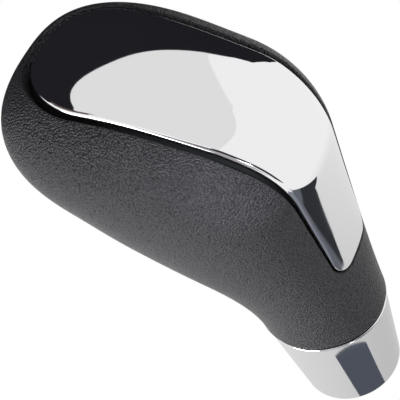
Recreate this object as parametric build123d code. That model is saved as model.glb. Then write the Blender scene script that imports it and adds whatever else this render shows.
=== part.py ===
from build123d import *
import os
from math import cos, pi, radians, sin, tan

# Driving dimensions, in millimetres and degrees
# The lever axis is Z, the chrome tongue runs down the +X side and the nose points to -X

# Lever: a round shank with a threaded end
lever_diameter = 12.0
lever_clearance = 0.1
socket_depth = 24.0
thread_minor_diameter = 8.64
thread_relief = 4.0

# Threaded insert, hexagonal so that it cannot turn in the core
insert_length = 22.0
insert_across_flats = 14.0
insert_chamfer = 0.8
insert_groove_width = 4.0
insert_groove_depth = 1.0

# Collar: the plated ferrule between the lever boot and the grip
collar_height = 24.3
collar_overhang = 1.0
collar_foot_radius = 12.0
collar_wall = 1.6
collar_step = 0.3
collar_rim_radius = 0.7
collar_top_radius = 0.35
collar_flange = 2.0
collar_gap = 0.25
collar_rib_width = 1.8
collar_rib_count = 4

# Stem of the core, which carries the collar on snap lugs
stem_radius = 9.2
stem_clearance = 0.2
lug_height = 3.0
lug_reach = 0.7
lug_width = 4.0

# Neck of the grip at the collar
neck_half_depth = 15.1
neck_half_width = 13.8
grip_foot_radius = 1.2
grip_foot_margin = 0.02

# Side view of the grip, measured from the grip's foot
back_height = 59.0
back_bend_radius = 21.3
head_rise = 28.6
top_length = 53.3
top_crown = 1.0
crown_start = 0.3
throat_land = 0.5
throat_radius = 43.5
underside_rise = 58.7
underside_length = 65.3

# Width of the grip and its rounding, with the places along it as shares of its length
head_half_width = 23.0
flare_end = 0.63
section_power = 2.66
rounding_end = 0.5
nose_start = 0.71
nose_power = 2.62

# Layers from the outside in: plated cover, bond line, carrier, then the core
cover_wall = 1.8
bond_line = 0.1
carrier_wall = 2.1
groove_width = 1.2
carrier_clearance = 0.2
cover_lip = 0.7
opening_lip = 0.5

# Outline of the cover, seen along the direction in which it is pushed on
cover_facing = 48.0
cover_foot = 5.0
cover_length = 73.6
cover_middle = 31.7
cover_foot_half_width = 7.6
cover_middle_half_width = 12.7
cover_nose_half_width = 14.9
cover_foot_rounding = 0.55
cover_nose_rounding = 0.85
cover_side_radius = 41.5

# Clip legs of the carrier, on the centre line of the tongue and along both sides of the head
leg_length = 8.0
leg_width = 6.0
leg_thickness = 2.2
barb_reach = 0.8
barb_height = 1.8
leg_clearance = 0.25
tongue_leg_height = 10.0
side_leg_height = 40.0
side_leg_margin = 3.4

# Hollow cells that lighten the core under the cover, with ribs left between them
cell_rows = 3
cell_columns = 2
cell_length = 9.0
cell_width = 6.0
cell_rib = 2.0
cell_corner = 1.5
cell_start = 26.0
cell_floor = 28.0

# Smoothness of the lofted form
section_points = 20
body_stations = 10
nose_angles = (0, 20, 38, 53, 66, 76, 84)

# Heights and layers that follow from the dimensions above
collar_bottom = -collar_overhang
collar_top = collar_bottom + collar_height
grip_foot = collar_top + collar_gap
grip_wall = cover_wall + bond_line + carrier_wall
socket_radius = lever_diameter / 2 + lever_clearance
thread_radius = thread_minor_diameter / 2
insert_top = socket_depth + insert_length

# The two lines of the side view, as (x, z): the back with the top, and the throat with the underside
rise = radians(head_rise)
slope = radians(underside_rise)
head_direction = Vector(-cos(rise), sin(rise))
head_normal = Vector(sin(rise), cos(rise))
throat_direction = Vector(-cos(slope), sin(slope))
throat_height = throat_land + throat_radius * tan((pi / 2 - slope) / 2)
back_foot = Vector(neck_half_depth, grip_foot)
back_corner = Vector(neck_half_depth, grip_foot + back_height)
top_end = back_corner + head_direction * top_length
throat_foot = Vector(-neck_half_depth, grip_foot)
throat_corner = Vector(-neck_half_depth, grip_foot + throat_height)
underside_end = throat_corner + throat_direction * underside_length
back_line = FilletPolyline(back_foot, back_corner, top_end, radius=back_bend_radius)
throat_line = FilletPolyline(throat_foot, throat_corner, underside_end, radius=throat_radius)

# The cover is drawn on a plane square to the direction in which it is pushed on
facing = radians(cover_facing)
cover_plane = Plane(
    origin=(0, 0, grip_foot), x_dir=(0, 1, 0), z_dir=(cos(facing), 0, sin(facing))
)
cover_end = cover_foot + cover_length
cover_bend = cover_foot + cover_middle
through = 2 * (back_height + top_length)


def side_view(share):
    """The top and the underside of the side view at one share of its length."""
    swell = top_crown * sin(pi * max(0, share - crown_start) / (1 - crown_start)) ** 2
    return back_line @ share + head_normal * swell, throat_line @ share


def middle(share):
    """The point half-way between the top and the underside."""
    top, under = side_view(share)
    return (top + under) * 0.5


nose_tip = middle(1)
nose_run = (nose_tip - middle(nose_start)).length


def signed_power(value, exponent):
    return abs(value) ** exponent * (1 if value > 0 else -1)


def section(centre, up, half_height, half_width, roundness):
    """A closed superellipse across the grip, starting on its underside."""
    ring = []
    for i in range(section_points):
        angle = pi + 2 * pi * i / section_points
        lift = half_height * signed_power(cos(angle), 2 / roundness)
        side = half_width * signed_power(sin(angle), 2 / roundness)
        ring.append((centre.X + up.X * lift, side, centre.Y + up.Y * lift))
    return make_face(Spline(*ring, periodic=True))


def form(inset):
    """The whole shape of the grip, drawn in by an even inset."""
    stations = [(nose_start * i / body_stations, 1) for i in range(body_stations)]
    reach = (1 - nose_start) * (1 - inset / nose_run)
    for angle in nose_angles:
        ahead = sin(radians(angle)) ** (2 / nose_power)
        shrink = cos(radians(angle)) ** (2 / nose_power)
        stations.append((nose_start + reach * ahead, shrink))
    faces = []
    for share, shrink in stations:
        top, under = side_view(share)
        flare = min(1, share / flare_end)
        widening = (head_half_width - neck_half_width) * (3 * flare**2 - 2 * flare**3)
        half_height = ((top - under).length / 2 - inset) * shrink
        half_width = (neck_half_width + widening - inset) * shrink
        roundness = 2 + (section_power - 2) * min(1, share / rounding_end)
        faces.append(section(middle(share), (top - under).normalized(), half_height, half_width, roundness))
    tip = middle(nose_start + reach)
    return loft(faces + [Vertex(tip.X, 0, tip.Y)])


def cover_outline(grow):
    """The teardrop outline of the cover, widened by grow."""
    right = [
        (cover_foot_half_width, cover_foot, cover_foot_half_width * cover_foot_rounding),
        (cover_middle_half_width, cover_bend, cover_side_radius),
        (cover_nose_half_width, cover_end, cover_nose_half_width * cover_nose_rounding),
    ]
    left = [(-side, height, radius) for side, height, radius in reversed(right)]
    corners = [(side, height) for side, height, radius in right + left]
    radii = [radius for side, height, radius in right + left]
    face = make_face(FilletPolyline(*corners, radius=radii, close=True))
    return offset(face, grow) if grow else face


# Everything on the cover's side of a plane from the nose tip down into the neck
cover_side_plane = Plane(
    origin=(nose_tip.X, 0, nose_tip.Y),
    x_dir=(0, 1, 0),
    z_dir=(nose_tip.Y - grip_foot, 0, neck_half_depth / 2 - nose_tip.X),
)
bottom_up = (Align.CENTER, Align.CENTER, Align.MIN)
cover_side = cover_side_plane * Box(through, 2 * through, through, align=bottom_up)


def cover_prism(grow):
    """The outline pushed outwards from inside the grip, past its back and top."""
    return extrude(cover_plane * cover_outline(grow), through) & cover_side


def outer_level(shape, side, height):
    """How far out a shape reaches, square to the cover plane, at one place of the cover."""
    line = Axis((cover_plane * Pos(side, height, 0)).position, cover_plane.z_dir)
    hits = shape.find_intersection_points(line)
    return max(cover_plane.to_local_coords(point).Z for point, normal in hits)


def cover_block(side, height, bottom, top, wide, deep):
    """A block standing square to the cover plane."""
    middle = Pos(side, height, (bottom + top) / 2)
    return cover_plane * middle * Box(wide, deep, top - bottom)


outer_form = form(0)
cover_inside = form(cover_wall)
carrier_form = form(cover_wall + bond_line)
core_form = form(grip_wall)

# Places of the clip legs: one in the tongue, and one each side of the head
side_leg_offset = cover_middle_half_width - side_leg_margin
leg_places = [
    (0, cover_foot + tongue_leg_height, leg_width, leg_thickness, 0, 1),
    (side_leg_offset, cover_foot + side_leg_height, leg_thickness, leg_width, 1, 0),
    (-side_leg_offset, cover_foot + side_leg_height, leg_thickness, leg_width, -1, 0),
]


def clip_legs(clearance):
    """The carrier's clip legs with their barbs, or the slots for them when given a clearance."""
    legs = []
    for side, height, wide, deep, barb_x, barb_y in leg_places:
        surface = outer_level(core_form, side, height)
        bottom = surface - leg_length - clearance
        top = surface + carrier_wall / 2
        leg = cover_block(side, height, bottom, top, wide + 2 * clearance, deep + 2 * clearance)
        barb = cover_block(
            side + barb_x * barb_reach,
            height + barb_y * barb_reach,
            bottom,
            bottom + barb_height + 2 * clearance,
            wide + 2 * clearance,
            deep + 2 * clearance,
        )
        legs.append(leg + barb)
    return legs


# Plated cover: the outermost layer inside the outline, with a rounded lip
top_cover = (outer_form & cover_prism(0)) - cover_inside
outward = Axis((0, 0, 0), cover_plane.z_dir)
cover_skins = top_cover.faces().sort_by(SortBy.AREA)[-2:]
top_cover = fillet(cover_skins.sort_by(outward)[-1].edges(), cover_lip)

# Carrier under the cover: its rim shows as the dark line round the cover
carrier_outline = groove_width - carrier_clearance
cover_carrier = (carrier_form & cover_prism(carrier_outline)) - core_form
cover_carrier = cover_carrier + [leg & carrier_form for leg in clip_legs(0)]

# Grip: one moulded skin with an opening for the cover, rolled over at the opening and at the foot
grip = outer_form - core_form - cover_prism(groove_width)
foot_place = Pos(0, 0, grip_foot)
foot_oval = Ellipse(neck_half_depth + grip_foot_margin, neck_half_width + grip_foot_margin)
rolled_foot = extrude(foot_place * foot_oval, 2 * grip_foot_radius)
rolled_foot = fillet(rolled_foot.edges().group_by(Axis.Z)[0], grip_foot_radius)
foot_waste = extrude(foot_place * offset(foot_oval, grip_foot_radius), grip_foot_radius) - rolled_foot
grip = grip - foot_waste
grip_skin = grip.faces().sort_by(SortBy.AREA)[-1]
grip = fillet(grip_skin.inner_wires()[0].edges(), opening_lip)

# Threaded insert, with a groove that locks it in the core
insert_blank = extrude(RegularPolygon(insert_across_flats / 2, 6, major_radius=False), insert_length)
insert_blank = chamfer(insert_blank.edges().group_by(Axis.Z)[0], insert_chamfer)
insert_blank = chamfer(insert_blank.edges().group_by(Axis.Z)[-1], insert_chamfer)
groove_radius = insert_across_flats / 2 - insert_groove_depth
groove_ring = Cylinder(insert_across_flats, insert_groove_width) - Cylinder(groove_radius, insert_groove_width)
insert_blank = insert_blank - Pos(0, 0, insert_length / 2) * groove_ring
insert_solid = Pos(0, 0, socket_depth) * insert_blank
thread_hole = Pos(0, 0, socket_depth) * Cylinder(thread_radius, insert_length, align=bottom_up)
thread_insert = insert_solid - thread_hole

# Core: the head under the skin, and the stem down to the lever socket
foot_face = core_form.faces().sort_by(Axis.Z)[0]
shoulder = extrude(foot_face, collar_gap, dir=(0, 0, -1))
stem = Cylinder(stem_radius, collar_top, align=bottom_up)
core = core_form + shoulder + stem
socket = Cylinder(socket_radius, socket_depth, align=bottom_up)
relief = Pos(0, 0, insert_top) * Cylinder(socket_radius, thread_relief, align=bottom_up)
core = core - socket - insert_solid - relief
core = core - clip_legs(leg_clearance)

# Cells of the core, drawn on the cover plane and cut down to one floor
cell_face = RectangleRounded(cell_width, cell_length, cell_corner)
cell_middle = cell_start + cover_foot + (cell_rows - 1) / 2 * (cell_length + cell_rib)
cell_places = Pos(0, cell_middle) * GridLocations(
    cell_width + cell_rib, cell_length + cell_rib, cell_columns, cell_rows
)
for place in cell_places:
    core = core - extrude(cover_plane.offset(cell_floor) * place * cell_face, through)

# Snap lugs of the stem, below the collar's flange
lug_top = collar_top - collar_flange
lug_side = Polyline(
    (stem_radius - lug_reach, lug_top),
    (stem_radius + lug_reach, lug_top),
    (stem_radius, lug_top - lug_height),
    (stem_radius - lug_reach, lug_top - lug_height),
    close=True,
)
lug = extrude(Plane.XZ * make_face(lug_side), lug_width / 2, both=True)
lug_turn = 360 / collar_rib_count
for i in range(collar_rib_count):
    core = core + Rot(0, 0, lug_turn * (i + 0.5)) * lug


def collar_form(inset, bottom, top):
    """The collar's tapered oval, drawn in by an even inset, between two heights."""
    ends = []
    for height in (bottom, top):
        share = (height - collar_bottom) / collar_height
        half_depth = collar_foot_radius + (neck_half_depth - collar_step - collar_foot_radius) * share
        half_width = collar_foot_radius + (neck_half_width - collar_step - collar_foot_radius) * share
        ends.append(Pos(0, 0, height) * Ellipse(half_depth - inset, half_width - inset))
    return loft(ends)


# Collar: a tapered oval shell with a top flange round the stem and ribs that centre it
collar_outside = collar_form(0, collar_bottom, collar_top)
collar_outside = fillet(collar_outside.edges().group_by(Axis.Z)[0], collar_rim_radius)
collar_outside = fillet(collar_outside.edges().group_by(Axis.Z)[-1], collar_top_radius)
collar_hollow = collar_form(collar_wall, collar_bottom, collar_top - collar_flange)
collar = collar_outside - collar_hollow
rib_height = collar_height - collar_flange - collar_overhang - lug_height
rib_block = Box(2 * neck_half_depth, collar_rib_width, rib_height, align=bottom_up)
for i in range(collar_rib_count // 2):
    collar = collar + (collar_hollow & (Rot(0, 0, lug_turn * i) * rib_block))
stem_hole = Cylinder(stem_radius + stem_clearance, collar_height, align=bottom_up)
collar = collar - stem_hole

nodes = {
    "grip": grip,
    "core": core,
    "top_cover": top_cover,
    "cover_carrier": cover_carrier,
    "collar": collar,
    "thread_insert": thread_insert,
}
os.makedirs("parts", exist_ok=True)
for name, solid in nodes.items():
    export_step(solid, f"parts/{name}.step")
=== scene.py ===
import bpy
import numpy as np
from math import atan2, cos, pi, radians, sin, tan
from mathutils import Matrix, Vector


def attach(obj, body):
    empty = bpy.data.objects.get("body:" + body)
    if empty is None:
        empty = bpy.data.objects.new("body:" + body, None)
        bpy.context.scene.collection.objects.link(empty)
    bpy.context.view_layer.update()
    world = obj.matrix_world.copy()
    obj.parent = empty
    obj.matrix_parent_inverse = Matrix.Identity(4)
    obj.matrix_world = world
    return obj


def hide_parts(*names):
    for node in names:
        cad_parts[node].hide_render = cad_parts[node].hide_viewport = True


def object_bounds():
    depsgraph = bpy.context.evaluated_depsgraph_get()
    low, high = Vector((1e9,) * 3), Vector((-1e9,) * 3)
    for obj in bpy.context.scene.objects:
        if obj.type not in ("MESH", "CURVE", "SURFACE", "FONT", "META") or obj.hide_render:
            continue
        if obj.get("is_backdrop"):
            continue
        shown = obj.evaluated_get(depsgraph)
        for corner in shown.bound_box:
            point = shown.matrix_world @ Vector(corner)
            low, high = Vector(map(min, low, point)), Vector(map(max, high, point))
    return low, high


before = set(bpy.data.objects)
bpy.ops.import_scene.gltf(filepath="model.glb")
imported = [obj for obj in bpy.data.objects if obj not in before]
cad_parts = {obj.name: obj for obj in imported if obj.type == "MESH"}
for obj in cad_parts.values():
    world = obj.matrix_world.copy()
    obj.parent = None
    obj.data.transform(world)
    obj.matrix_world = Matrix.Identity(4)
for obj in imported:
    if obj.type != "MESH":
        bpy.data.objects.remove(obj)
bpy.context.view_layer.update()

# Sizes of the knob, in millimetres and degrees, as the solids have them
MM = 0.001
collar_bottom = -1.0
collar_height = 24.3
collar_foot_radius = 12.0
collar_wall = 1.6
collar_step = 0.3
collar_rim_radius = 0.7
collar_flange = 2.0
collar_gap = 0.25
collar_rib_width = 1.8
collar_rib_count = 4
collar_overhang = 1.0
lug_height = 3.0
stem_hole_radius = 9.4
neck_half_depth = 15.1
neck_half_width = 13.8
back_height = 59.0
back_bend_radius = 21.3
head_rise = 28.6
top_length = 53.3
top_crown = 1.0
crown_start = 0.3
throat_land = 0.5
throat_radius = 43.5
underside_rise = 58.7
underside_length = 65.3
head_half_width = 23.0
flare_end = 0.63
section_power = 2.66
nose_start = 0.71
nose_power = 2.62
cover_wall = 1.8
bond_line = 0.1
carrier_wall = 2.1
groove_width = 1.2
carrier_clearance = 0.2
cover_facing = 48.0
cover_foot = 5.0
cover_length = 73.6
cover_middle = 31.7
cover_foot_half_width = 7.6
cover_middle_half_width = 12.7
cover_nose_half_width = 14.9
cover_foot_rounding = 0.55
cover_nose_rounding = 0.85
cover_side_radius = 41.5

# Sizes as they show, rounder, softer or lower than in the solids
collar_top_radius = 0.4
collar_rim_drop = 0.25
rib_sink = 0.1
section_ease = 0.28
rounding_end = 0.6
cover_lip = 1.05
cover_foot_lip = 0.25
cover_edge_growth = 0.35
cover_foot_drop = 1.15
opening_foot_drop = 0.42
opening_narrowing = 0.6
grip_lip = 0.4
grip_foot_roll = 1.2

# Mesh fineness
ring_count = 216
body_rows = 120
nose_rows = 60
outline_count = 480
shell_rows = 26
lip_rows = 9
groove_rows = 7
foot_roll_rows = 8
collar_count = 192
collar_top_rows = 7
collar_wall_rows = 24
collar_foot_rows = 9
curve_count = 40
weld_digits = 5

# Steps and limits of the searches for points on the form and on the opening's edge
raise_halvings = 48
cut_halvings = 14
search_chunk = 4000
edge_slack = 0.3
far_outside = 20.0
above_cover = 50.0
form_run = 70.0
last_share = 0.9999
tiny = 1e-9

collar_top = collar_bottom + collar_height
grip_foot = collar_top + collar_gap
collar_rim = collar_top - collar_rim_drop
grip_wall = cover_wall + bond_line + carrier_wall


def unit(v):
    return v / np.linalg.norm(v, axis=-1, keepdims=True)


def smooth(x):
    x = np.clip(x, 0, 1)
    return x * x * (3 - 2 * x)


def bent_line(foot, corner, end, radius, share):
    """Points along a line with one rounded corner, at shares of its length."""
    first = unit(corner - foot)
    second = unit(end - corner)
    turn = atan2(first[0] * second[1] - first[1] * second[0], first @ second)
    cut = radius * tan(abs(turn) / 2)
    before = np.linalg.norm(corner - foot) - cut
    after = np.linalg.norm(end - corner) - cut
    arc = radius * abs(turn)
    run = share * (before + arc + after)
    swing = np.clip((run - before) / radius, 0, abs(turn))
    aside = np.sign(turn) * np.array([-first[1], first[0]])
    ahead = np.minimum(run, before) + radius * np.sin(swing)
    beyond = np.maximum(run - before - arc, 0)
    bend = np.outer(radius * (1 - np.cos(swing)), aside)
    return foot + np.outer(ahead, first) + bend + np.outer(beyond, second)


# The two lines of the side view, as (x, z)
rise = radians(head_rise)
slope = radians(underside_rise)
head_direction = np.array([-cos(rise), sin(rise)])
head_normal = np.array([sin(rise), cos(rise)])
throat_direction = np.array([-cos(slope), sin(slope)])
throat_height = throat_land + throat_radius * tan((pi / 2 - slope) / 2)
back_foot = np.array([neck_half_depth, grip_foot])
back_corner = np.array([neck_half_depth, grip_foot + back_height])
throat_foot = np.array([-neck_half_depth, grip_foot])
throat_corner = np.array([-neck_half_depth, grip_foot + throat_height])
top_end = back_corner + head_direction * top_length
underside_end = throat_corner + throat_direction * underside_length


def stations(share):
    """Middle, up direction, half height, half width and roundness of sections at shares of the length."""
    swell = top_crown * np.sin(pi * np.clip((share - crown_start) / (1 - crown_start), 0, 1)) ** 2
    top = bent_line(back_foot, back_corner, top_end, back_bend_radius, share) + np.outer(swell, head_normal)
    under = bent_line(throat_foot, throat_corner, underside_end, throat_radius, share)
    ahead = np.clip((share - nose_start) / (1 - nose_start), 0, 1)
    shrink = (1 - ahead**nose_power) ** (1 / nose_power)
    half_height = np.linalg.norm(top - under, axis=1) / 2 * shrink
    half_width = (neck_half_width + (head_half_width - neck_half_width) * smooth(share / flare_end)) * shrink
    roundness = 2 + (section_power - 2) * smooth(share / rounding_end)
    return (top + under) / 2, unit(top - under), half_height, half_width, roundness


def bulge(within, roundness):
    """How far a place within the section has used up its roundness: 0 in the middle, 1 at the edge."""
    full = (1 + section_ease**2) ** (roundness / 2) - section_ease**roundness
    return ((within**2 + section_ease**2) ** (roundness / 2) - section_ease**roundness) / full


def unbulge(used, roundness):
    """The place within the section that has used up that much."""
    full = (1 + section_ease**2) ** (roundness / 2) - section_ease**roundness
    square = (np.maximum(used, 0) * full + section_ease**roundness) ** (2 / roundness) - section_ease**2
    return np.sqrt(np.maximum(square, 0))


def form_points(share, angle):
    """Points of the outer form at shares of the length and angles round the section, from the top."""
    middle, up, half_height, half_width, roundness = stations(share)
    lift = half_height * unbulge(np.cos(angle) ** 2, roundness) * np.sign(np.cos(angle))
    side = half_width * unbulge(np.sin(angle) ** 2, roundness) * np.sign(np.sin(angle))
    return np.stack([middle[:, 0] + up[:, 0] * lift, side, middle[:, 1] + up[:, 1] * lift], axis=-1)


# The cover plane: the directions along it and out of it, and its origin
facing = radians(cover_facing)
plane_v = np.array([-sin(facing), 0, cos(facing)])
plane_n = np.array([cos(facing), 0, sin(facing)])
plane_origin = np.array([0, 0, grip_foot])


def raised(flat):
    """Points on the outer form above places (y, v) of the cover plane."""
    side = np.abs(flat[:, 0])
    low = np.zeros(len(flat))
    high = np.ones(len(flat))
    for _ in range(raise_halvings):
        share = (low + high) / 2
        middle, up, half_height, half_width, roundness = stations(share)
        within = np.clip(side / np.maximum(half_width, tiny), 0, 1)
        lift = half_height * unbulge(1 - bulge(within, roundness), roundness)
        x = middle[:, 0] + up[:, 0] * lift
        z = middle[:, 1] + up[:, 1] * lift
        below = x * plane_v[0] + (z - grip_foot) * plane_v[2] < flat[:, 1]
        low = np.where(below, share, low)
        high = np.where(below, high, share)
    return np.stack([x, flat[:, 0], z], axis=-1)


def raised_with_normal(flat):
    """The same points with the outward direction of the form there."""
    nudge = 0.01
    across = raised(flat + [nudge, 0]) - raised(flat - [nudge, 0])
    along = raised(flat + [0, nudge]) - raised(flat - [0, nudge])
    return raised(flat), unit(np.cross(across, along))


def rounded_outline(corners, radii, count):
    """Evenly spaced points round a polygon with rounded corners, and the outward directions there."""
    corners = np.array(corners)
    runs = []
    for i, corner in enumerate(corners):
        first = unit(corner - corners[i - 1])
        second = unit(corners[(i + 1) % len(corners)] - corner)
        turn = atan2(first[0] * second[1] - first[1] * second[0], first @ second)
        cut = radii[i] * tan(turn / 2)
        runs.append((corner - first * cut, first, corner + second * cut, radii[i], turn))
    pieces = []
    for i, (start, first, end, radius, turn) in enumerate(runs):
        pieces.append((radius * turn, start, first, radius))
        gap = runs[(i + 1) % len(runs)][0] - end
        pieces.append((np.linalg.norm(gap), end, unit(gap), None))
    total = sum(piece[0] for piece in pieces)
    points = []
    outward = []
    for k in range(count):
        run = total * k / count
        for length, start, direction, radius in pieces:
            if run <= length:
                break
            run -= length
        left = np.array([-direction[1], direction[0]])
        swing = run / radius if radius else 0
        if radius:
            points.append(start + direction * radius * sin(swing) + left * radius * (1 - cos(swing)))
        else:
            points.append(start + direction * run)
        heading = direction * cos(swing) + left * sin(swing)
        outward.append([heading[1], -heading[0]])
    return np.array(points), np.array(outward)


def cover_outline(foot, foot_half_width):
    """The teardrop outline of the cover with its foot at a height, and the outward directions."""
    right_side = [
        (foot_half_width, foot, foot_half_width * cover_foot_rounding),
        (cover_middle_half_width, cover_foot + cover_middle, cover_side_radius),
        (cover_nose_half_width, cover_foot + cover_length, cover_nose_half_width * cover_nose_rounding),
    ]
    left_side = [(-side, height, radius) for side, height, radius in reversed(right_side)]
    corners = [corner[:2] for corner in right_side + left_side]
    radii = [corner[2] for corner in right_side + left_side]
    return rounded_outline(corners, radii, outline_count)


outline, outline_out = cover_outline(cover_foot, cover_foot_half_width)
lowered, cover_edge_out = cover_outline(cover_foot - cover_foot_drop, cover_foot_half_width)
cover_edge = lowered + cover_edge_out * cover_edge_growth
opening_foot_half_width = cover_foot_half_width - opening_narrowing
opening, opening_out = cover_outline(cover_foot - opening_foot_drop, opening_foot_half_width)


class Builder:
    """Collects welded faces with a normal at each corner."""

    def __init__(self):
        self.index = {}
        self.points = []
        self.faces = []
        self.normals = []

    def vertex(self, point):
        key = tuple(np.round(point, weld_digits))
        if key not in self.index:
            self.index[key] = len(self.points)
            self.points.append(point * MM)
        return self.index[key]

    def face(self, points, normals):
        """One face, turned to its normals, without the corners that fall together."""
        corners = {}
        for point, normal in zip(points, normals):
            corners.setdefault(self.vertex(point), normal)
        if len(corners) < 3:
            return
        numbers = list(corners)
        places = [self.points[number] for number in numbers]
        turn = np.cross(places[1] - places[0], places[2] - places[1])
        turn = turn + np.cross(places[-1] - places[-2], places[0] - places[-1])
        if turn @ sum(corners.values()) < 0:
            numbers.reverse()
        self.faces.append(numbers)
        self.normals.extend(corners[number] for number in numbers)

    def rows(self, points, normals):
        """Quads between closed rows."""
        for i in range(len(points) - 1):
            for j in range(len(points[i])):
                k = (j + 1) % len(points[i])
                places = ((i, j), (i, k), (i + 1, k), (i + 1, j))
                self.face([points[a][b] for a, b in places], [normals[a][b] for a, b in places])

    def build(self, name):
        mesh = bpy.data.meshes.new(name)
        mesh.from_pydata(self.points, [], self.faces)
        mesh.shade_smooth()
        mesh.normals_split_custom_set([Vector(normal) for normal in self.normals])
        piece = bpy.data.objects.new(name, mesh)
        bpy.context.scene.collection.objects.link(piece)
        return piece


def rolled(start, up, out, radius, count):
    """Rows of a rounded edge that turns from facing up to facing out, and their normals."""
    points = []
    normals = []
    for angle in np.linspace(0, pi / 2, count):
        points.append(start + out * radius * sin(angle) - up * radius * (1 - cos(angle)))
        normals.append(up * cos(angle) + out * sin(angle))
    return points, normals


def shell(name, edge, edge_out, top_depth, bottom_depth, lip):
    """A shell that follows the form inside an outline, between two depths, with a rounded upper edge."""
    wall = bottom_depth - top_depth
    inner = edge - edge_out * lip
    spine = np.zeros_like(edge)
    spine_foot = cover_foot + cover_foot_half_width
    spine_end = cover_foot + cover_length - cover_nose_half_width
    spine[:, 1] = np.clip(edge[:, 1], spine_foot, spine_end)
    top_points = []
    top_normals = []
    for k in np.linspace(0, 1, shell_rows):
        points, normals = raised_with_normal(spine + (inner - spine) * k)
        top_points.append(points - normals * top_depth)
        top_normals.append(normals)
    last = top_points[-1]
    up = top_normals[-1]
    along = np.roll(last, -1, axis=0) - np.roll(last, 1, axis=0)
    out = unit(np.cross(along, up))
    edge_points, edge_normals = rolled(last, up, out, lip, lip_rows)
    foot = edge_points[-1] - up * (wall - lip) - out * lip / 2
    under_points = [points - normals * wall for points, normals in zip(top_points, top_normals)]
    built = Builder()
    built.rows(top_points, top_normals)
    built.rows(edge_points, edge_normals)
    built.rows([edge_points[-1], foot], [out, out])
    built.rows([foot, under_points[-1]], [-up, -up])
    built.rows(under_points[::-1], [-normals for normals in top_normals[::-1]])
    return built.build(name)


# Cover and its carrier
lip_growth = smooth((cover_edge[:, 1:] - cover_foot) / cover_foot_half_width)
lip_width = cover_foot_lip + (cover_lip - cover_foot_lip) * lip_growth
top_cover = shell("cover_shell", cover_edge, cover_edge_out, 0, cover_wall, lip_width)
carrier_edge = outline + outline_out * (groove_width - carrier_clearance)
carrier = shell("carrier_shell", carrier_edge, outline_out, cover_wall + bond_line, grip_wall, bond_line)


def inside_distance(flat):
    """Distance of places (y, v) from the opening's starting edge, below zero inside it."""
    edge = opening + opening_out * (groove_width + grip_lip)
    result = np.zeros(len(flat))
    for start in range(0, len(flat), search_chunk):
        part = flat[start:start + search_chunk]
        gap = part[:, None, :] - edge[None, :, :]
        nearest = np.argmin((gap**2).sum(axis=2), axis=1)
        offset = part - edge[nearest]
        tangent = np.stack([-opening_out[nearest][:, 1], opening_out[nearest][:, 0]], axis=-1)
        outward = (offset * opening_out[nearest]).sum(axis=1)
        aside = np.abs((offset * tangent).sum(axis=1))
        beyond = np.hypot(outward, np.maximum(aside - edge_slack, 0))
        result[start:start + search_chunk] = np.where(outward > 0, beyond, outward)
    return result


# The nose tip, and the plane through it that parts the cover's side from the throat's side
nose_tip = (top_end + underside_end) / 2
side_normal = unit(np.array([nose_tip[1] - grip_foot, neck_half_depth / 2 - nose_tip[0]]))


def opening_distance(points):
    """Distance from the edge of the cover's opening, below zero inside it."""
    flat = np.stack([points[:, 1], (points - plane_origin) @ plane_v], axis=-1)
    on_side = (points[:, [0, 2]] - nose_tip) @ side_normal > 0
    return np.where(on_side, inside_distance(flat), far_outside)


# Grip: the outer form cut open along the groove
body_shares = np.linspace(grip_foot_roll / form_run, nose_start, body_rows, endpoint=False)
nose_angles = np.linspace(0, pi / 2, nose_rows + 1)[:-1]
nose_shares = nose_start + (1 - nose_start) * np.sin(nose_angles) ** (2 / nose_power)
shares = np.concatenate([body_shares, nose_shares])
ring_angles = np.linspace(0, 2 * pi, ring_count, endpoint=False)
grid_share = np.repeat(shares, ring_count)
grid_angle = np.tile(ring_angles, len(shares))
grid_points = form_points(grid_share, grid_angle)


def form_normals(share, angle):
    """Outward directions of the outer form."""
    nudge = 1e-4
    ahead = form_points(np.minimum(share + nudge, last_share), angle) - form_points(share - nudge, angle)
    round_ = form_points(share, angle + nudge) - form_points(share, angle - nudge)
    return unit(np.cross(round_, ahead))


grid_normals = form_normals(grid_share, grid_angle)
grid_distance = opening_distance(grid_points)

# Crossings of the grid's edges with the opening's edge
row_count = len(shares)
number = np.arange(row_count * ring_count).reshape(row_count, ring_count)
along_edges = np.stack([number[:-1].ravel(), number[1:].ravel()], axis=-1)
round_edges = np.stack([number.ravel(), np.roll(number, -1, axis=1).ravel()], axis=-1)
edges = np.concatenate([along_edges, round_edges])
crossing = edges[(grid_distance[edges[:, 0]] < 0) != (grid_distance[edges[:, 1]] < 0)]
start_angle = grid_angle[crossing[:, 0]]
end_angle = grid_angle[crossing[:, 1]]
end_angle = np.where(end_angle < start_angle - pi, end_angle + 2 * pi, end_angle)
start_share = grid_share[crossing[:, 0]]
end_share = grid_share[crossing[:, 1]]
low = np.zeros(len(crossing))
high = np.ones(len(crossing))
starts_inside = grid_distance[crossing[:, 0]] < 0
for _ in range(cut_halvings):
    part = (low + high) / 2
    cut_share = start_share + (end_share - start_share) * part
    cut_angle = start_angle + (end_angle - start_angle) * part
    inside = opening_distance(form_points(cut_share, cut_angle)) < 0
    low = np.where(inside == starts_inside, part, low)
    high = np.where(inside == starts_inside, high, part)
cut_points = form_points(cut_share, cut_angle)
cut_normals = form_normals(cut_share, cut_angle)
cut_number = {}
for i, (a, b) in enumerate(crossing):
    cut_number[(a, b)] = i
    cut_number[(b, a)] = i

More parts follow.
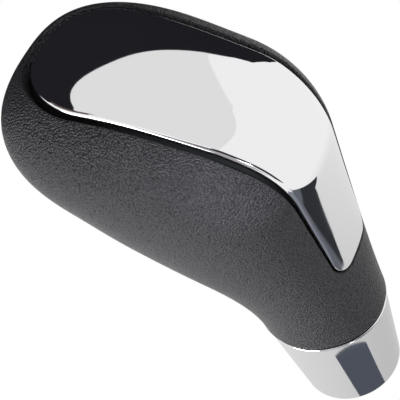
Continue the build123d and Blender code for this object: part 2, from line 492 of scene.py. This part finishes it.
# Faces of the grid outside the opening, and the way round its border
grip_mesh = Builder()
border = {}
kept_faces = []
for i in range(row_count - 1):
    for j in range(ring_count):
        k = (j + 1) % ring_count
        corners = (number[i, j], number[i + 1, j], number[i + 1, k], number[i, k])
        ring = []
        cuts = []
        for here, after in zip(corners, corners[1:] + corners[:1]):
            if grid_distance[here] >= 0:
                ring.append((grid_points[here], grid_normals[here]))
            if (here, after) in cut_number:
                cut = cut_number[(here, after)]
                ring.append((cut_points[cut], cut_normals[cut]))
                cuts.append((cut, grid_distance[here] >= 0))
        if len(ring) > 2:
            kept_faces.append(ring)
        if len(cuts) == 2:
            leaving = cuts[0][0] if cuts[0][1] else cuts[1][0]
            coming = cuts[1][0] if cuts[0][1] else cuts[0][0]
            border[leaving] = coming
tip = np.array([nose_tip[0], 0, nose_tip[1]])
forward = unit(tip - grid_points[number[-1]].mean(axis=0))
for j in range(ring_count):
    k = (j + 1) % ring_count
    a = number[-1, j]
    b = number[-1, k]
    kept_faces.append([(grid_points[a], grid_normals[a]), (tip, forward), (grid_points[b], grid_normals[b])])
for ring in kept_faces:
    grip_mesh.face([point for point, normal in ring], [normal for point, normal in ring])
    inner = [(point - normal * grip_wall, -normal) for point, normal in reversed(ring)]
    grip_mesh.face([point for point, normal in inner], [normal for point, normal in inner])

# The opening's edge rolls over into the groove
loop = [next(iter(border))]
while border[loop[-1]] != loop[0]:
    loop.append(border[loop[-1]])
edge = cut_points[loop]
up = cut_normals[loop]
along = np.roll(edge, -2, axis=0) - np.roll(edge, 2, axis=0)
toward = unit(np.cross(up, along))
middle_of_cover = plane_origin + plane_v * (cover_foot + cover_length / 2) + plane_n * above_cover
if ((middle_of_cover - edge) * toward).sum() < 0:
    toward = -toward
roll_points, roll_normals = rolled(edge, up, toward, grip_lip, groove_rows)
groove_foot = roll_points[-1] - up * (grip_wall - grip_lip)
grip_mesh.rows(roll_points, roll_normals)
grip_mesh.rows([roll_points[-1], groove_foot], [toward, toward])
grip_mesh.rows([groove_foot, edge - up * grip_wall], [-up, -up])

# The foot of the grip rolls inwards above the collar
vertical = np.array([0, 0, 1.0])
first_ring = grid_points[number[0]]
first_normal = grid_normals[number[0]]
flat_out = unit(first_normal * [1, 1, 0])
straight = first_ring.copy()
straight[:, 2] = grip_foot + grip_foot_roll
foot_rows, foot_normals = rolled(straight, flat_out, -vertical, grip_foot_roll, foot_roll_rows)
inside_ring = first_ring - first_normal * grip_wall
flat_ring = inside_ring.copy()
flat_ring[:, 2] = grip_foot
down = np.tile(-vertical, (ring_count, 1))
grip_mesh.rows([foot_rows[0], first_ring], [flat_out, first_normal])
grip_mesh.rows(foot_rows[::-1], foot_normals[::-1])
grip_mesh.rows([flat_ring, foot_rows[-1]], [down, down])
grip_mesh.rows([inside_ring, flat_ring], [-flat_out, -flat_out])
grip = grip_mesh.build("grip_leather")


# Collar: tapered oval rows from the stem hole over the outside and up the inside
collar_turns = np.linspace(0, 2 * pi, collar_count, endpoint=False)


def collar_row(inset, height):
    """Points of the collar at a height, inset from its outside, and the outward directions."""
    share = (height - collar_bottom) / collar_height
    half_depth = collar_foot_radius + (neck_half_depth - collar_step - collar_foot_radius) * share
    half_width = collar_foot_radius + (neck_half_width - collar_step - collar_foot_radius) * share
    across = np.cos(collar_turns)
    aside = np.sin(collar_turns)
    flat = np.zeros(collar_count)
    out = unit(np.stack([across * half_width, aside * half_depth, flat], axis=-1))
    points = np.stack([(half_depth - inset) * across, (half_width - inset) * aside, flat + height], axis=-1)
    return points, out


def hole_row(height):
    """Points of the stem hole at a height, and the outward directions."""
    out = np.stack([np.cos(collar_turns), np.sin(collar_turns), np.zeros(collar_count)], axis=-1)
    return out * stem_hole_radius + vertical * height, out


taper = (neck_half_depth + neck_half_width) / 2 - collar_step - collar_foot_radius
wall_tilt = -taper / collar_height
profile = []
for angle in np.linspace(pi / 2, 0, collar_top_rows):
    inset = collar_top_radius * (1 - cos(angle))
    height = collar_rim - collar_top_radius * (1 - sin(angle))
    profile.append((inset, height, cos(angle), sin(angle) + wall_tilt * cos(angle)))
wall_start = collar_rim - collar_top_radius
wall_end = collar_bottom + collar_rim_radius
for height in np.linspace(wall_start, wall_end, collar_wall_rows)[1:]:
    profile.append((0, height, 1, wall_tilt))
for angle in np.linspace(0, pi / 2, collar_foot_rows)[1:]:
    inset = collar_rim_radius * (1 - cos(angle))
    height = collar_bottom + collar_rim_radius * (1 - sin(angle))
    profile.append((inset, height, cos(angle), -sin(angle) + wall_tilt * cos(angle)))
outer_rows = []
outer_normals = []
for inset, height, outward, upward in profile:
    points, out = collar_row(inset, height)
    outer_rows.append(points)
    outer_normals.append(unit(out * outward + vertical * upward))
flange_under = collar_rim - collar_flange
rim_inside = collar_row(collar_wall, collar_bottom)[0]
wall_inside, wall_out = collar_row(collar_wall, flange_under)
hole_under = hole_row(flange_under)[0]
hole_top, hole_out = hole_row(collar_rim)
flat_up = np.tile(vertical, (collar_count, 1))
collar_mesh = Builder()
collar_mesh.rows(outer_rows[::-1], outer_normals[::-1])
collar_mesh.rows([rim_inside, outer_rows[-1]], [-flat_up, -flat_up])
collar_mesh.rows([wall_inside, rim_inside], [-wall_out, -wall_out])
collar_mesh.rows([hole_under, wall_inside], [-flat_up, -flat_up])
collar_mesh.rows([hole_top, hole_under], [-hole_out, -hole_out])
collar_mesh.rows([outer_rows[0], hole_top], [flat_up, flat_up])

# Ribs inside the collar that centre it on the stem
rib_top = collar_height - collar_flange - collar_overhang - lug_height
rib_foot_reach = collar_foot_radius - collar_wall + rib_sink
rib_top_reach = rib_foot_reach + taper * rib_top / collar_height
for i in range(collar_rib_count):
    turn = 2 * pi * i / collar_rib_count
    out = np.array([cos(turn), sin(turn), 0])
    aside = np.array([-sin(turn), cos(turn), 0])
    sides = []
    for sign in (1, -1):
        half = aside * sign * collar_rib_width / 2
        near_low = out * stem_hole_radius + half
        far_low = out * rib_foot_reach + half
        far_high = out * rib_top_reach + half + vertical * rib_top
        near_high = near_low + vertical * rib_top
        sides.append((near_low, far_low, far_high, near_high))
        collar_mesh.face(sides[-1], [aside * sign] * 4)
    (low_left, far_left, tall_left, high_left), (low_right, far_right, tall_right, high_right) = sides
    collar_mesh.face([low_left, far_left, far_right, low_right], [-vertical] * 4)
    collar_mesh.face([high_left, high_right, tall_right, tall_left], [vertical] * 4)
    collar_mesh.face([low_left, low_right, high_right, high_left], [-out] * 4)
collar = collar_mesh.build("collar_shell")

# Each piece stands for its solid
for piece, node, slot in (
    (top_cover, "top_cover", "cover_chrome"),
    (carrier, "cover_carrier", "carrier_black"),
    (grip, "grip", "grip_skin"),
    (collar, "collar", "collar_chrome"),
):
    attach(piece, "root")
    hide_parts(node)


# Materials
def material(name):
    """A new material, its nodes, its links and its main shader."""
    made = bpy.data.materials.new(name)
    made.use_nodes = True
    nodes = made.node_tree.nodes
    return made, nodes, made.node_tree.links, nodes["Principled BSDF"]


def noise(nodes, links, scale, detail):
    """Noise that is fixed to the piece."""
    place = nodes.new("ShaderNodeTexCoord")
    field = nodes.new("ShaderNodeTexNoise")
    field.inputs["Scale"].default_value = scale
    field.inputs["Detail"].default_value = detail
    links.new(place.outputs["Object"], field.inputs["Vector"])
    return field.outputs["Fac"]


def spread(nodes, links, source, low, high):
    """A value from 0 to 1 spread between two others."""
    reach = nodes.new("ShaderNodeMapRange")
    reach.inputs["To Min"].default_value = low
    reach.inputs["To Max"].default_value = high
    links.new(source, reach.inputs["Value"])
    return reach.outputs["Result"]


def leather():
    """Skin with a pebble grain, shinier on the pebbles than between them."""
    made, nodes, links, shader = material("grip_leather")
    place = nodes.new("ShaderNodeTexCoord")
    cells = nodes.new("ShaderNodeTexVoronoi")
    cells.feature = "SMOOTH_F1"
    cells.inputs["Scale"].default_value = 2600
    cells.inputs["Smoothness"].default_value = 0.4
    links.new(place.outputs["Object"], cells.inputs["Vector"])
    fine = noise(nodes, links, scale=7000, detail=2)
    broad = noise(nodes, links, scale=60, detail=3)
    height = nodes.new("ShaderNodeMath")
    height.operation = "MULTIPLY_ADD"
    fine_share = 0.35
    height.inputs[1].default_value = fine_share
    links.new(fine, height.inputs[0])
    links.new(cells.outputs["Distance"], height.inputs[2])
    bump = nodes.new("ShaderNodeBump")
    bump.invert = True
    bump.inputs["Strength"].default_value = 0.8
    bump.inputs["Distance"].default_value = 0.00045
    links.new(height.outputs["Value"], bump.inputs["Height"])
    links.new(bump.outputs["Normal"], shader.inputs["Normal"])
    ramp = nodes.new("ShaderNodeValToRGB")
    ramp.color_ramp.elements[0].color = (0.010, 0.0095, 0.0112, 1)
    ramp.color_ramp.elements[1].color = (0.017, 0.0162, 0.0187, 1)
    links.new(cells.outputs["Distance"], ramp.inputs["Fac"])
    links.new(ramp.outputs["Color"], shader.inputs["Base Color"])
    links.new(spread(nodes, links, broad, low=0.30, high=0.38), shader.inputs["Roughness"])
    shine = spread(nodes, links, cells.outputs["Distance"], low=0.85, high=0)
    links.new(shine, shader.inputs["Specular IOR Level"])
    shader.inputs["Specular Tint"].default_value = (0.98, 0.94, 1.0, 1)
    return made


def metal(name, color, noise_scale, noise_detail, smoothest, roughest):
    """Bare or plated metal with a slightly uneven polish."""
    made, nodes, links, shader = material(name)
    shader.inputs["Base Color"].default_value = color
    shader.inputs["Metallic"].default_value = 1
    broad = noise(nodes, links, noise_scale, noise_detail)
    links.new(spread(nodes, links, broad, smoothest, roughest), shader.inputs["Roughness"])
    return made


def chrome(name, color):
    """Bright plating."""
    return metal(name, color, noise_scale=90, noise_detail=2, smoothest=0.015, roughest=0.045)


def plastic(name, color, smoothest, roughest, grain, shine):
    """Moulded plastic with a fine grain."""
    made, nodes, links, shader = material(name)
    shader.inputs["Base Color"].default_value = color
    shader.inputs["Specular IOR Level"].default_value = shine
    broad = noise(nodes, links, scale=140, detail=3)
    links.new(spread(nodes, links, broad, smoothest, roughest), shader.inputs["Roughness"])
    fine = noise(nodes, links, scale=2500, detail=2)
    bump = nodes.new("ShaderNodeBump")
    bump.inputs["Strength"].default_value = grain
    bump.inputs["Distance"].default_value = 0.0001
    links.new(fine, bump.inputs["Height"])
    links.new(bump.outputs["Normal"], shader.inputs["Normal"])
    return made


def carrier_black():
    """Black plastic, darker and duller than the core as painted shade, since it lies in the groove's shadow.
    """
    # Very dark colour and low shine: painted shade of the groove
    color = (0.003, 0.003, 0.0035, 1)
    return plastic("carrier_black", color, smoothest=0.5, roughest=0.65, grain=0.2, shine=0.1)


def core_plastic():
    """Dark moulded plastic."""
    color = (0.02, 0.02, 0.022, 1)
    return plastic("core_plastic", color, smoothest=0.45, roughest=0.6, grain=0.4, shine=0.5)


def brass():
    """Turned brass."""
    color = (0.72, 0.54, 0.24, 1)
    return metal("insert_brass", color, noise_scale=300, noise_detail=3, smoothest=0.2, roughest=0.36)


def dress(piece, paint):
    """Gives a piece one material."""
    piece.data.materials.clear()
    piece.data.materials.append(paint)


dress(grip, leather())
dress(top_cover, chrome("cover_chrome", (0.87, 0.87, 0.88, 1)))
dress(collar, chrome("collar_chrome", (0.84, 0.84, 0.85, 1)))
dress(carrier, carrier_black())
dress(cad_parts["core"], core_plastic())
dress(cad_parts["thread_insert"], brass())

# Camera at the photograph's viewing angle
view_turn = radians(43.71)
view_rise = radians(43.28)
view_roll = radians(30.0)
view_distance = 214.1
view_scale = 4.575
image_size = 400
sensor_width = 36
middle_offset = (18.76, 19.65)
target = np.array([-16.0, 0, grip_foot + 28.0])
backward = np.array([sin(view_turn) * cos(view_rise), -cos(view_turn) * cos(view_rise), sin(view_rise)])
level_right = np.array([cos(view_turn), sin(view_turn), 0])
level_up = np.cross(backward, level_right)
right = level_right * cos(view_roll) - level_up * sin(view_roll)
upward = level_right * sin(view_roll) + level_up * cos(view_roll)
camera_data = bpy.data.cameras.new("camera")
camera_data.sensor_fit = "HORIZONTAL"
camera_data.sensor_width = sensor_width
camera_data.lens = sensor_width * view_scale * view_distance / image_size
camera_data.shift_x = -middle_offset[0] / image_size
camera_data.shift_y = middle_offset[1] / image_size
camera_data.clip_start = 0.01
camera = bpy.data.objects.new("camera", camera_data)
turned = Matrix([right, upward, backward]).transposed().to_4x4()
camera.matrix_world = Matrix.Translation(Vector((target + backward * view_distance) * MM)) @ turned
bpy.context.scene.collection.objects.link(camera)
bpy.context.scene.camera = camera


# Studio, in metres: a pale floor far below, a white surround, cards for the mirrors, spots and lamps
floor_level = -0.25
floor_reach = 3.0
# Middle of the floor's painted shadow, under the knob
floor_painted_shadow_middle = (0.05, 0.05, floor_level)
lowest_card = floor_level + 0.003
tongue_card_height = floor_level + 0.005
collar_card_height = floor_level + 0.01
knob_middle = (-0.01, 0, 0.07)
knob_head_height = 0.08
cloth_distance = 3.0
cloth_middle = np.array([-0.01, 0, 0.09])
ceiling_height = 6.0
collar_card_reach = 0.1455
collar_card_count = 12
arch_distance = 1.2
panel_distance = 2.5
shade_place = -0.72
spot_distance = 1.2
spot_color = (0.84, 0.94, 1.0)


def sheet(name, corners, paint):
    """A flat sheet of the studio with the given corners."""
    mesh = bpy.data.meshes.new(name)
    mesh.from_pydata([tuple(corner) for corner in corners], [], [tuple(range(len(corners)))])
    made = bpy.data.objects.new(name, mesh)
    bpy.context.scene.collection.objects.link(made)
    made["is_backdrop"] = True
    dress(made, paint)
    return made


def card(name, corners, paint):
    """A sheet that only shows in mirrors."""
    made = sheet(name, corners, paint)
    made.visible_camera = False
    made.visible_diffuse = False
    made.visible_shadow = False
    return made


def at_height(outline, height):
    """The places (x, y) of an outline at one height."""
    return [(x, y, height) for x, y in outline]


def seen_from_knob(turn, tilt, distance):
    """A place at a turn and a tilt, in degrees, and a distance from the knob's head."""
    flat_reach = distance * cos(radians(tilt))
    height = distance * sin(radians(tilt)) + knob_head_height
    return flat_reach * cos(radians(turn)), flat_reach * sin(radians(turn)), height


def bezier(curve):
    """Points along a curve with four control points."""
    points = []
    for t in np.linspace(0, 1, curve_count):
        pull = np.array([(1 - t) ** 3, 3 * t * (1 - t) ** 2, 3 * t * t * (1 - t), t**3])
        points.append(tuple(pull @ np.array(curve)))
    return points


def hang(name, data, place, aim):
    """A light at a place, pointed at its aim."""
    made = bpy.data.objects.new(name, data)
    toward_aim = Vector(aim) - Vector(place)
    made.matrix_world = Matrix.Translation(place) @ toward_aim.to_track_quat("-Z", "Y").to_matrix().to_4x4()
    bpy.context.scene.collection.objects.link(made)
    return made


def lamp(name, size, place, power):
    """A soft lamp that points at the knob and isn't seen itself."""
    data = bpy.data.lights.new(name, "AREA")
    data.shape = "RECTANGLE"
    data.size = size[0]
    data.size_y = size[1]
    data.energy = power
    hang(name, data, place, knob_middle).visible_camera = False


def spot(name, place, aim, spread_angle, power):
    """A small spot of light."""
    data = bpy.data.lights.new(name, "SPOT")
    data.spot_size = radians(spread_angle)
    data.spot_blend = 1
    data.shadow_soft_size = 0
    data.energy = power
    data.color = spot_color
    hang(name, data, place, aim)


def eased(nodes, links, source, low, high, at_low, at_high):
    """A value that eases from one level to another while its source goes from low to high."""
    reach = nodes.new("ShaderNodeMapRange")
    reach.interpolation_type = "SMOOTHSTEP"
    reach.inputs["From Min"].default_value = low
    reach.inputs["From Max"].default_value = high
    reach.inputs["To Min"].default_value = at_low
    reach.inputs["To Max"].default_value = at_high
    links.new(source, reach.inputs["Value"])
    return reach.outputs["Result"]


def larger(nodes, links, first, second):
    """The larger of two values."""
    choice = nodes.new("ShaderNodeMath")
    choice.operation = "MAXIMUM"
    links.new(first, choice.inputs[0])
    links.new(second, choice.inputs[1])
    return choice.outputs["Value"]


def mix_into(output, nodes, links, share, first, second):
    """Mixes two shaders and leads the mix to an output."""
    mix = nodes.new("ShaderNodeMixShader")
    links.new(share, mix.inputs["Fac"])
    links.new(first, mix.inputs[1])
    links.new(second, mix.inputs[2])
    links.new(mix.outputs["Shader"], output.inputs["Surface"])


def glow_paint(name, color):
    """A paint that shows one colour in any light."""
    made, nodes, links, _ = material(name)
    glow = nodes.new("ShaderNodeEmission")
    glow.inputs["Color"].default_value = color
    links.new(glow.outputs["Emission"], nodes["Material Output"].inputs["Surface"])
    return made


def fading_paint(name, color, direction, low, high, at_low, at_high):
    """The same, with a strength that changes along a direction, between two places on it."""
    made = glow_paint(name, color)
    nodes = made.node_tree.nodes
    links = made.node_tree.links
    place = nodes.new("ShaderNodeTexCoord")
    along = nodes.new("ShaderNodeVectorMath")
    along.operation = "DOT_PRODUCT"
    along.inputs[1].default_value = direction
    links.new(place.outputs["Object"], along.inputs[0])
    strength = eased(nodes, links, along.outputs["Value"], low, high, at_low, at_high)
    links.new(strength, nodes["Emission"].inputs["Strength"])
    return made


def floor_paint():
    """White to the camera, and a little darker near the knob where mirrors see it: a painted shadow of the
    knob.
    """
    made, nodes, links, shader = material("floor_paint")
    shader.inputs["Base Color"].default_value = (0.9, 0.9, 0.9, 1)
    shader.inputs["Roughness"].default_value = 0.9
    glow = nodes.new("ShaderNodeEmission")
    path = nodes.new("ShaderNodeLightPath")
    place = nodes.new("ShaderNodeTexCoord")
    away = nodes.new("ShaderNodeVectorMath")
    away.operation = "DISTANCE"
    away.inputs[1].default_value = floor_painted_shadow_middle
    links.new(place.outputs["Object"], away.inputs[0])
    # Glow dimmed near the knob: a painted shadow, seen only in mirrors
    painted_shadow_glow = eased(nodes, links, away.outputs["Value"], low=0.05, high=0.45, at_low=0.58, at_high=0.97)
    to_camera = path.outputs["Is Camera Ray"]
    links.new(larger(nodes, links, painted_shadow_glow, to_camera), glow.inputs["Strength"])
    seen = larger(nodes, links, to_camera, path.outputs["Is Glossy Ray"])
    mix_into(nodes["Material Output"], nodes, links, seen, shader.outputs["BSDF"], glow.outputs["Emission"])
    return made


# Floor
corner_signs = ((-1, -1), (1, -1), (1, 1), (-1, 1))
floor_corners = [(x * floor_reach, y * floor_reach) for x, y in corner_signs]
sheet("floor", at_height(floor_corners, floor_level), floor_paint())

# Black cloth behind the head, over the nose: its curved edge is the sharp line across the cover
cloth_facing = unit(np.array([-0.3, 0.65, 0.7]))
cloth_right = unit(np.cross(cloth_facing, [0, 0, 1]))
cloth_up = np.cross(cloth_right, cloth_facing)
cloth_curve = [(-0.16, 0.82), (-0.091, 0.014), (0.385, 0.202), (0.52, -0.185)]
cloth_corners = [
    (0.65, -0.36), (0.79, -0.61), (0.84, -0.87), (0.80, -1.20), (-4.00, -1.50), (-4.00, 1.60), (-0.45, 1.60)
]
cloth_points = []
for aside, above in bezier(cloth_curve) + cloth_corners:
    toward = cloth_facing + cloth_right * aside + cloth_up * above
    cloth_points.append(cloth_middle + toward * cloth_distance)
cloth_paint = glow_paint("cloth_paint", (0.014, 0.013, 0.017, 1))
cloth = card("cloth", cloth_points, cloth_paint)
cloth.visible_diffuse = True

# Ceiling, a little greyer than the walls, with a rounded end, as shares of its height
ceiling_corners = [(0.5, -0.6), (-1.2, -1.0), (-1.2, 1.39)]
ceiling_side = bezier([(0.15, 1.39), (0.19, 1.08), (0.27, 0.86), (0.384, 0.60)])
ceiling_end = bezier([(0.384, 0.60), (0.80, 0.42), (0.76, 0.22), (0.60, -0.16)])
ceiling_outline = np.array(ceiling_corners + ceiling_side + ceiling_end[1:]) * ceiling_height
ceiling_paint = glow_paint("ceiling_paint", (0.82, 0.82, 0.82, 1))
card("ceiling", at_height(ceiling_outline, ceiling_height), ceiling_paint)

# Dark card low beside the tongue, fading to slate on its near side
tongue_card_outline = [
    (0.22, -0.08), (0.236, 0.07), (0.247, 0.115), (0.248, 0.18),
    (0.26, 0.212), (0.285, 0.237), (0.70, 0.0), (0.70, -0.08)
]
tongue_paint = fading_paint(
    "tongue_card_paint", (0.90, 0.96, 1.12, 1), (-0.216, 0.976, 0),
    low=-0.012, high=0.016, at_low=0.14, at_high=0.034
)
card("tongue_card", at_height(tongue_card_outline, tongue_card_height), tongue_paint)

# Slate card below the front, seen in the collar
collar_card_outline = [(0.055, -0.076), (0.096, 0.065)]
for turn in np.radians(np.linspace(-19, -91, collar_card_count)):
    collar_card_outline.append((collar_card_reach * cos(turn), collar_card_reach * sin(turn)))
collar_paint = glow_paint("collar_card_paint", (0.083, 0.094, 0.12, 1))
card("collar_card", at_height(collar_card_outline, collar_card_height), collar_paint)

# Slate apron round it, seen in the tongue's rounded edge
apron_outline = [
    (0.19, 0.035), (0.185, -0.06), (0.145, -0.12), (0.09, -0.155), (0.0, -0.175), (-0.13, -0.13),
    (-0.14, -0.20), (0.0, -0.29), (0.16, -0.34), (0.31, -0.33), (0.50, -0.2), (0.55, 0.03)
]
apron_paint = fading_paint(
    "apron_paint", (0.91, 0.97, 1.12, 1), (0, -1, 0),
    low=0.06, high=0.24, at_low=0.14, at_high=0.25
)
card("apron", at_height(apron_outline, lowest_card), apron_paint)

# Dark floor far out on the cloth's side
far_floor_outline = [
    (-1.1, 2.6), (-0.28, 0.66), (-0.45, 0.45), (-0.62, 0.36),
    (-0.95, 0.2), (-1.1, -0.2), (-2.6, -1.0), (-2.8, 2.6)
]
card("far_floor", at_height(far_floor_outline, lowest_card), cloth_paint)

# Dark arch on the near side, as turns and tilts seen from the knob
arch_outer = bezier([(2, -32), (-16, 30), (-20, 98), (-96, 17)])
arch_inner = bezier([(-30, -36), (-42, -4), (-50, 52), (-96, 12)])
arch_paint = glow_paint("arch_paint", (0.03, 0.03, 0.034, 1))
for i in range(len(arch_outer) - 1):
    corners = (arch_outer[i], arch_outer[i + 1], arch_inner[i + 1], arch_inner[i])
    card("arch", [seen_from_knob(turn, tilt, arch_distance) for turn, tilt in corners], arch_paint)

# Brown wall panel high on the nose's near side
panel_outline = [(-95, 78), (-100, 48), (-140, 36), (-160, 60)]
panel_paint = glow_paint("panel_paint", (0.12, 0.092, 0.082, 1))
card("panel", [seen_from_knob(turn, tilt, panel_distance) for turn, tilt in panel_outline], panel_paint)

# Grey shade that hides part of the side lamp from the mirrors
shade_outline = [(-0.09, -0.35), (0.50, -0.35), (0.50, 0.45), (-0.09, 0.45)]
shade_paint = glow_paint("shade_paint", (0.42, 0.40, 0.42, 1))
card("shade", [(x, shade_place, z) for x, z in shade_outline], shade_paint)

# Small spots on the shoulder and the neck of the skin
shoulder_aim = (0.0, -0.016, 0.088)
neck_aim = (0.0075, -0.0147, 0.0825)
spot("shoulder_spot", seen_from_knob(-56, 50, spot_distance), shoulder_aim, spread_angle=2.0, power=36)
spot("neck_spot", seen_from_knob(-32, 16, spot_distance), neck_aim, spread_angle=1.3, power=60)

# Soft lamps in front and on the near side
lamp("front", size=(0.6, 0.6), place=(1.04, -0.87, 0.44), power=8)
lamp("side", size=(1.0, 0.6), place=(-0.15, -0.8, 0.05), power=12)

# Surround: soft grey for the light, white to the camera and nearly white to mirrors
world = bpy.data.worlds.new("surround")
bpy.context.scene.world = world
world.use_nodes = True
nodes = world.node_tree.nodes
links = world.node_tree.links
base = nodes["Background"]
base.inputs["Color"].default_value = (1, 1, 1, 1)
base.inputs["Strength"].default_value = 0.4
white = nodes.new("ShaderNodeBackground")
white.inputs["Color"].default_value = (1, 1, 1, 1)
path = nodes.new("ShaderNodeLightPath")
to_camera = path.outputs["Is Camera Ray"]
links.new(spread(nodes, links, to_camera, low=0.97, high=1), white.inputs["Strength"])
seen = larger(nodes, links, to_camera, path.outputs["Is Glossy Ray"])
seen = larger(nodes, links, seen, path.outputs["Is Transmission Ray"])
mix_into(nodes["World Output"], nodes, links, seen, base.outputs["Background"], white.outputs["Background"])

bpy.context.scene.view_settings.view_transform = "Standard"

low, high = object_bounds()
